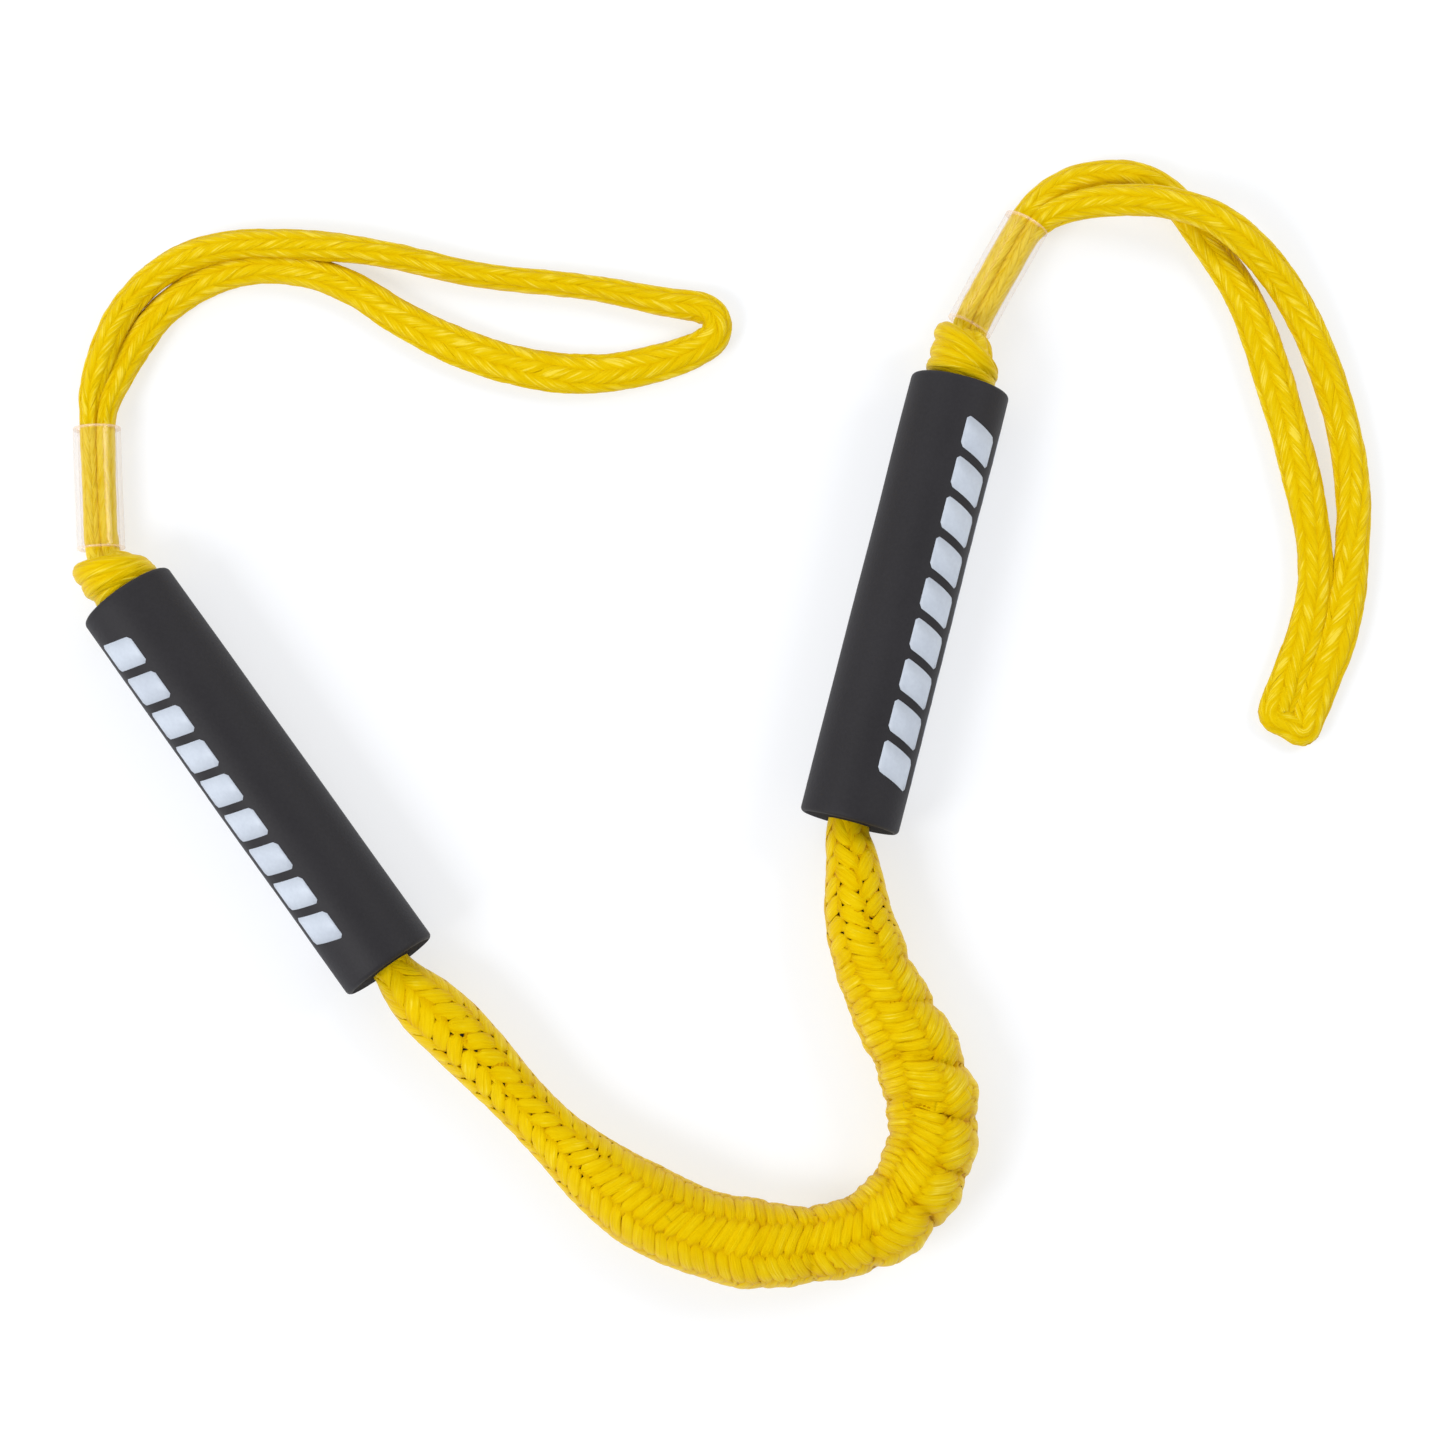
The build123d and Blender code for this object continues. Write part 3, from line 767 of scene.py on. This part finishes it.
def gathered_part(part, start, end, replaced):
    """The rope and the core between two distances, which stretch between two bodies over part of that."""
    # the lining is black rubber: it stands for the black core seen between strands, and for the shade inside
    # the rope, painted
    lining = gathered_braid.lining(max(start, LEFT_FACE + LINING_GAP), min(end, RIGHT_FACE - LINING_GAP),
                                   inset=2.1, around=24)
    rope = strands_object(f"{part}_gathered_rope", gathered_braid.gather(start, end) + lining, inside=RUBBER)
    core = core_tube(f"{part}_rubber_core", max(start, LEFT_FACE), min(end, RIGHT_FACE))
    for made in (rope, core):
        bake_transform(made)
    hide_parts(*replaced)
    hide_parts(f"{part}_core")


gathered_part("left", 0.0, LEFT_RING,
              ("left_braid", "left_neck"))
gathered_part("middle", LEFT_RING, RIGHT_RING,
              ("middle_braid",))
gathered_part("right", RIGHT_RING, gathered.length,
              ("right_braid", "right_neck"))

# ---------------------------------------------------------------- knots
UP = np.array((0.0, 0.0, 1.0))
FLOAT_RADIUS, FLOAT_LENGTH, BORE_RADIUS = 0.0165, 0.150, 0.0068
KNOT_HEIGHT = 0.0155
WRAP_TAPER = 0.006             # a wrap thins over this length at its ends


class End:
    """Where one end's float, knot and sleeve are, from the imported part."""

    def __init__(self, side, knot_out, knot_across):
        joints = {joint["name"]: joint for joint in frame["joints"]}
        turn = joints[f"{side}_float_turn"]
        self.side = side
        self.float_middle = np.array(turn["pos_m"], float)
        self.out = -unit(np.array(turn["axis"], float))              # towards the knot
        self.across = np.cross(self.out, UP)                         # to the right, seen from above
        self.sleeve_axis = unit(np.array(joints[f"{side}_sleeve_slide"]["axis"], float))
        low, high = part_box(f"{side}_sleeve")
        self.sleeve_middle = (np.array(low) + np.array(high)) / 2
        knot = self.float_middle + (FLOAT_LENGTH / 2 + knot_out) * self.out
        knot[2] = KNOT_HEIGHT
        self.knot_middle = knot + knot_across * self.across


def knot_wrap(end, seed, size, left_along, right_along, start, stop, half_axial, half_radial, lift):
    """One wrap of rope round the knot.

    It lies at left_along on the axis on its left side and at right_along on its right side, in metres from
    the knot's middle, and goes round from start to stop in degrees. lift raises it on top."""
    turn = np.radians(np.linspace(start, stop, 60))
    radial = np.cos(turn)[:, None] * end.across + np.sin(turn)[:, None] * UP
    along = (left_along + right_along) / 2 - (left_along - right_along) / 2 * np.cos(turn)
    points = end.knot_middle + (size + lift * np.sin(turn))[:, None] * radial + along[:, None] * end.out
    line = Line(points, up=radial)
    taper = np.clip(np.minimum(line.s, line.length - line.s) / WRAP_TAPER, 0.25, 1.0) ** 0.5
    braid = Braid(line, half_axial * taper, half_radial * taper, 0.110, 0.00045, 0.006, seed,
                  fill=1.25, wobble=0.8)
    return braid.gather()


def knot(end, wraps, heart):
    """An overhand knot as its visible wraps over a heart of rope, which reaches this far each way."""
    parts = []
    for index, wrap in enumerate(wraps):
        parts += knot_wrap(end, 100 + 10 * index + len(end.side), *wrap)
    line = Line(end.knot_middle + np.linspace(-heart, heart, 12)[:, None] * end.out)
    swell = np.sqrt(np.clip(1 - ((line.s / line.length - 0.5) * 1.75) ** 2, 0.05, 1))
    core = Braid(line, 0.0092 * swell, 0.0088 * swell, 0.03, 0.0009, 0.004, 77, fill=1.2)
    parts += core.gather() + core.lining(0.0, line.length, inset=0.9)
    made = strands_object(f"{end.side}_rope_knot", parts)
    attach(made, f"{end.side}_line")
    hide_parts(f"{end.side}_knot")


left_end, right_end = End("left", 0.0074, 0.0012), End("right", 0.0092, -0.0008)
# each wrap: size, left_along, right_along, start, stop, half_axial, half_radial, lift
knot(left_end, [
    (0.0086, 0.0064, -0.0030, -70, 262, 0.0042, 0.0033, 0.0006),
    (0.0092, 0.0010, -0.0044, -80, 250, 0.0040, 0.0030, 0.0),
    (0.0082, -0.0040, -0.0046, -60, 280, 0.0032, 0.0028, 0.0),
], 0.0070)
knot(right_end, [
    (0.0088, 0.0064, -0.0040, -70, 262, 0.0038, 0.0033, 0.0010),
    (0.0090, 0.0006, -0.0052, -80, 250, 0.0044, 0.0029, 0.0),
    (0.0092, -0.0050, -0.0068, -60, 280, 0.0032, 0.0028, 0.0),
], 0.0090)

# ---------------------------------------------------------------- sleeves
SLEEVE_LENGTH, SLEEVE_OUTER, SLEEVE_INNER = 0.041, 0.0078, 0.0063
SLEEVE_EDGE = 0.0003           # radius of the rounding
SLEEVE_RIM = 0.0007            # length of the cut rim's band, milkier and tinted orange as painted light


def round_points(middle, axis, across, along, radius):
    """Rows of points round an axis, from each row's distance along it and each point's radius."""
    turn = full_turn(radius.shape[1])
    circle = np.cos(turn)[:, None] * across + np.sin(turn)[:, None] * UP
    return middle + along[:, None, None] * axis + radius[..., None] * circle


def sleeve(end, seed):
    """A clear tube with softly rounded rims and a slightly uneven wall."""
    axis = end.sleeve_axis
    corner = SLEEVE_EDGE * np.array([0.0, 0.3, 1.0])
    rim = np.array([*corner, SLEEVE_RIM])
    along = np.concatenate([rim, np.linspace(0.002, SLEEVE_LENGTH - 0.002, 20), SLEEVE_LENGTH - rim[::-1]])
    rounding = np.interp(along, [*corner, *(SLEEVE_LENGTH - corner[::-1])], [*corner[::-1], *corner])
    rows = np.concatenate([along, along[::-1]])
    radii = np.concatenate([SLEEVE_OUTER - rounding, (SLEEVE_INNER + rounding)[::-1]])
    turn = full_turn(64)[None, :]
    oval = 1 + 0.012 * np.cos(2 * turn)
    uneven = 0.00010 * np.sin(3 * turn + seed) * np.sin(rows * 150 + seed)[:, None]
    start = end.sleeve_middle - axis * SLEEVE_LENGTH / 2
    places = round_points(start, axis, np.cross(axis, UP), rows, radii[:, None] * oval + uneven)
    count, around = places.shape[:2]
    faces = ring_faces(count, around, closed=True).reshape(-1, 4).tolist()
    made = mesh_object(f"{end.side}_clear_sleeve", places.reshape(-1, 3), faces, VINYL, VINYL_RIM)
    middle_distance = np.abs(rows - SLEEVE_LENGTH / 2)
    nearer = np.minimum(middle_distance, np.roll(middle_distance, -1))
    set_materials(made, np.repeat(nearer > SLEEVE_LENGTH / 2 - SLEEVE_RIM - 1e-6, around))
    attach(made, f"{end.side}_sleeve")
    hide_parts(f"{end.side}_sleeve")


sleeve(left_end, 1)
sleeve(right_end, 2)

# ---------------------------------------------------------------- floats
FLOAT_SEEDS = {"left": 5, "right": 6}
FLOAT_EDGE, BORE_LIP = 0.0015, 0.0008
SKIN_FROM, SKIN_OVER = 0.0145, 0.002       # radii over which the skin's unevenness comes in


def float_profile():
    """Distance along the axis and radius, from the bore's middle out over one end and back."""
    edge, lip = FLOAT_EDGE, BORE_LIP
    half = FLOAT_LENGTH / 2
    skin = [(x, FLOAT_RADIUS) for x in np.linspace(0.0, half - 0.004, 24)]
    outer = [(half - edge + edge * sin(a), FLOAT_RADIUS - edge + edge * cos(a))
             for a in np.radians([0, 22, 45, 68, 90])]
    face = [(half - 0.0001, 0.0130), (half - 0.00015, 0.0100)]
    mouth = [(half - lip + lip * cos(a), BORE_RADIUS + lip - lip * sin(a))
             for a in np.radians([0, 30, 60, 90])]
    bore = [(half - 0.004, BORE_RADIUS), (half - 0.02, BORE_RADIUS)]
    one_end = skin + outer + face + mouth + bore
    return [(-x, r) for x, r in reversed(one_end[1:])] + one_end + [(0.0, BORE_RADIUS)]


def skin_uneven(along, turn, seed):
    """How far a float's skin is off a true cylinder, in metres."""
    rng = np.random.RandomState(seed)
    total = 0.0 * along * turn
    for _ in range(6):
        total = total + np.sin(rng.randint(0, 4) * turn + along * rng.uniform(20, 120) + rng.uniform(0, 6))
    return 0.00003 * total


def foam_float(end):
    """A foam float with a bore, as one closed profile turned round its axis."""
    along, radius = np.array(float_profile()).T
    skin = np.clip((radius - SKIN_FROM) / SKIN_OVER, 0, 1)[:, None]
    turn = full_turn(96)[None, :]
    uneven = skin * skin_uneven(along[:, None], turn, FLOAT_SEEDS[end.side])
    places = round_points(end.float_middle, end.out, end.across, along, radius[:, None] + uneven)
    places[..., 2] = np.maximum(places[..., 2], FLOOR_GAP)
    count, around = places.shape[:2]
    faces = ring_faces(count, around, closed=True)[..., TURNED_OVER].reshape(-1, 4).tolist()
    made = mesh_object(f"{end.side}_foam_float", places.reshape(-1, 3), faces, FOAM, CUT_FOAM_SHADED)
    # the ends and the bore take the cut foam's painted shade
    set_materials(made, np.repeat(np.maximum(radius, np.roll(radius, -1)) < FLOAT_RADIUS - 0.0014, around))
    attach(made, f"{end.side}_float")
    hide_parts(f"{end.side}_float")


BARS, BAR_PITCH = 9, 0.0137
BAR_HALF_LONG, BAR_HALF_TALL, BAR_SLANT, BAR_CORNER = 0.0053, 0.0067, 0.32, 0.0012
BAR_ROWS, ROW_TURN = 2, 66.0   # degrees from one row of bars to the next
INK_PROUD, INK_THICK = 0.00006, 0.00012


def bar_outline():
    """A slanted bar with rounded corners, as an array of (along, around) points in metres."""
    points = []
    for x, y, turn in ((1, 1, 0), (-1, 1, 90), (-1, -1, 180), (1, -1, 270)):
        for a in np.radians(np.linspace(turn, turn + 90, 5)):
            u = x * (BAR_HALF_LONG - BAR_CORNER) + BAR_CORNER * cos(a)
            v = y * (BAR_HALF_TALL - BAR_CORNER) + BAR_CORNER * sin(a)
            points.append((u + BAR_SLANT * v, v))
    return np.array(points)


def span(outline, y):
    """The lowest and highest first coordinate of a closed outline at a height."""
    crossings = []
    for (u0, v0), (u1, v1) in zip(outline, np.roll(outline, -1, axis=0)):
        low, high = min(v0, v1), max(v0, v1)
        if low <= y <= high and high > low:
            crossings.append(u0 + (u1 - u0) * (y - v0) / (v1 - v0))
        elif low == high and abs(y - v0) < 1e-9:
            crossings += [u0, u1]
    return min(crossings), max(crossings)


def printed_bars(end, centre_angle, middle_along, next_row):
    """Rows of plain slanted bars printed on the float's skin.

    next_row is 1 or -1, the way round to the second row."""
    outline = bar_outline()
    places, faces = [], []
    for row in range(BAR_ROWS):
        middle_angle = radians(centre_angle + next_row * ROW_TURN * row)
        for bar in range(BARS):
            offset = middle_along + (bar - (BARS - 1) / 2) * BAR_PITCH
            base = len(places)
            heights = np.linspace(-BAR_HALF_TALL, BAR_HALF_TALL, 15)
            for y in heights:
                angle = middle_angle + y / FLOAT_RADIUS
                normal = cos(angle) * end.across + sin(angle) * UP
                for u in np.linspace(*span(outline, y), 3):
                    radius = FLOAT_RADIUS + INK_PROUD + skin_uneven(offset + u, angle, FLOAT_SEEDS[end.side])
                    places.append(end.float_middle + (offset + u) * end.out + radius * normal)
            for a in (base + 3 * i + k for i in range(len(heights) - 1) for k in range(2)):
                faces.append([a, a + 1, a + 4, a + 3])
    made = mesh_object(f"{end.side}_printed_bars", places, faces, PRINT)
    solid = made.modifiers.new("ink", "SOLIDIFY")
    solid.thickness = INK_THICK
    solid.offset = -1.0
    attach(made, f"{end.side}_float")


foam_float(left_end)
foam_float(right_end)
printed_bars(left_end, 90 + 43.5, 0.0023, 1)
printed_bars(right_end, 90 - 38.5, 0.0005, -1)

# ---------------------------------------------------------------- hidden CAD nodes that stay
for node, material in (("core_end", RUBBER), ("crimp", METAL)):
    for side in ("left", "right"):
        kept = frame["nodes"][f"{side}_{node}"]
        kept.data.materials.clear()
        kept.data.materials.append(material)

# ---------------------------------------------------------------- floor and light
FLOOR_HALF = 20.0
floor_nodes = Nodes("floor_paper")
floor_shader = floor_nodes.add("ShaderNodeBsdfPrincipled", {
    "Base Color": (0.41, 0.425, 0.455, 1.0), "Roughness": 0.9, "Specular IOR Level": 0.05,
    "Emission Color": (1.0, 1.0, 1.0, 1.0), "Emission Strength": 0.58})
floor_mesh = bpy.data.meshes.new("floor")
floor_mesh.from_pydata([(x * FLOOR_HALF, y * FLOOR_HALF, 0) for x, y in ((-1, -1), (1, -1), (1, 1), (-1, 1))],
                       [], [(0, 1, 2, 3)])
floor_mesh.materials.append(floor_nodes.surface(floor_shader.outputs[0]))
floor = bpy.data.objects.new("floor", floor_mesh)
scene.collection.objects.link(floor)

# the studio's walls are pale, and its ceiling is dark
world = bpy.data.worlds.new("studio")
world.use_nodes = True
tree = world.node_tree
sky = tree.nodes["Background"]
sky.inputs["Color"].default_value = (1.0, 1.0, 1.0, 1.0)
above = tree.nodes.new("ShaderNodeSeparateXYZ")
tree.links.new(tree.nodes.new("ShaderNodeTexCoord").outputs["Generated"], above.inputs[0])
dimmed = tree.nodes.new("ShaderNodeMapRange")
for key, value in (("From Min", 0.78), ("From Max", 0.97), ("To Min", 0.70), ("To Max", 0.22)):
    dimmed.inputs[key].default_value = value
tree.links.new(above.outputs["Z"], dimmed.inputs["Value"])
tree.links.new(dimmed.outputs[0], sky.inputs["Strength"])
scene.world = world

LIT_MIDDLE = Vector((0.057, -0.01, 0.0))


def soft_light(name, place, size, power):
    """A rectangular light, turned towards the object."""
    data = bpy.data.lights.new(name, "AREA")
    data.shape = "RECTANGLE"
    data.size, data.size_y = size
    data.energy = power
    light = bpy.data.objects.new(name, data)
    light.location = place
    light.rotation_mode = "QUATERNION"
    light.rotation_quaternion = (LIT_MIDDLE - Vector(place)).to_track_quat("-Z", "Y")
    scene.collection.objects.link(light)


soft_light("key", (-1.1, -0.7, 1.3), (0.7, 0.7), 17.0)
soft_light("fill", (1.2, 0.5, 1.1), (0.50, 0.65), 7.0)
soft_light("top", (-0.5, 1.2, 1.0), (1.2, 0.5), 5.0)
